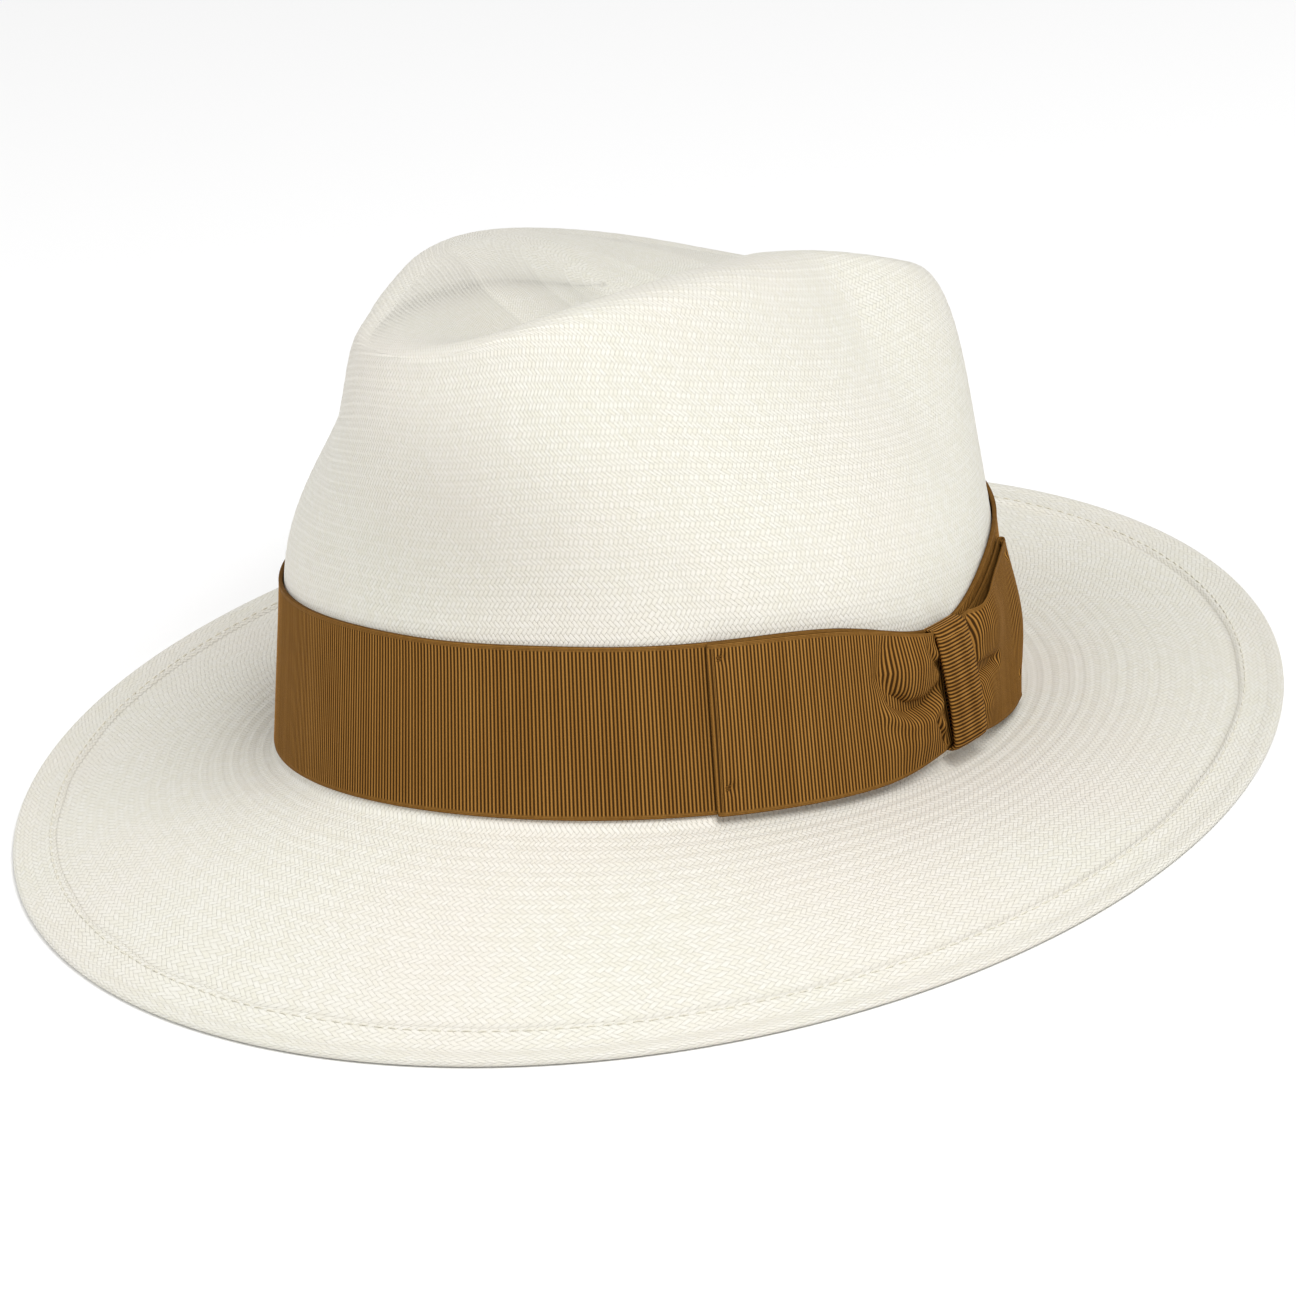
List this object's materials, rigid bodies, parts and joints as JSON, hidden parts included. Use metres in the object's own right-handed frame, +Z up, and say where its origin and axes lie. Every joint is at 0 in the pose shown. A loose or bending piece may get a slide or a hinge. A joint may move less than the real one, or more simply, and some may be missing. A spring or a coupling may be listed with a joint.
{
  "type": "panama hat",
  "caption": "Wide-brim woven straw hat with a teardrop crown, pinched front, folded hem, brown grosgrain ribbon with a side bow, and a leather sweatband inside.",
  "frame": {"origin": "on the surface that the brim rests on, under the middle of the brim", "axes": "+Z up, the front of the hat faces -Y, and the bow is on the +X side, the wearer's left"},
  "size_m": [0.302, 0.3356, 0.1429],
  "materials": {
    "straw": "fine bleached toquilla straw in a herringbone weave, soft satin",
    "grosgrain": "golden-brown grosgrain ribbon with fine upright ribs and a satin sheen",
    "thread": "cream sewing thread and tape, matt",
    "leather": "thin tan sheepskin, smooth, softly polished",
    "label": "blank woven label, matt"
  },
  "bodies": {
    "root": {"straw_body": "straw", "brim_hem_thread": "thread", "ribbon_band": "grosgrain", "bow_front_wing": "grosgrain", "bow_rear_wing": "grosgrain", "bow_knot": "grosgrain", "bow_tack_front_top": "grosgrain", "bow_tack_front_bottom": "grosgrain", "bow_tack_rear_top": "grosgrain", "bow_tack_rear_bottom": "grosgrain", "sweatband": "leather", "sweatband_reed": "thread", "sweatband_stitching": "thread", "sweatband_bow": "grosgrain", "size_label": "label"}
  },
  "joints": []
}
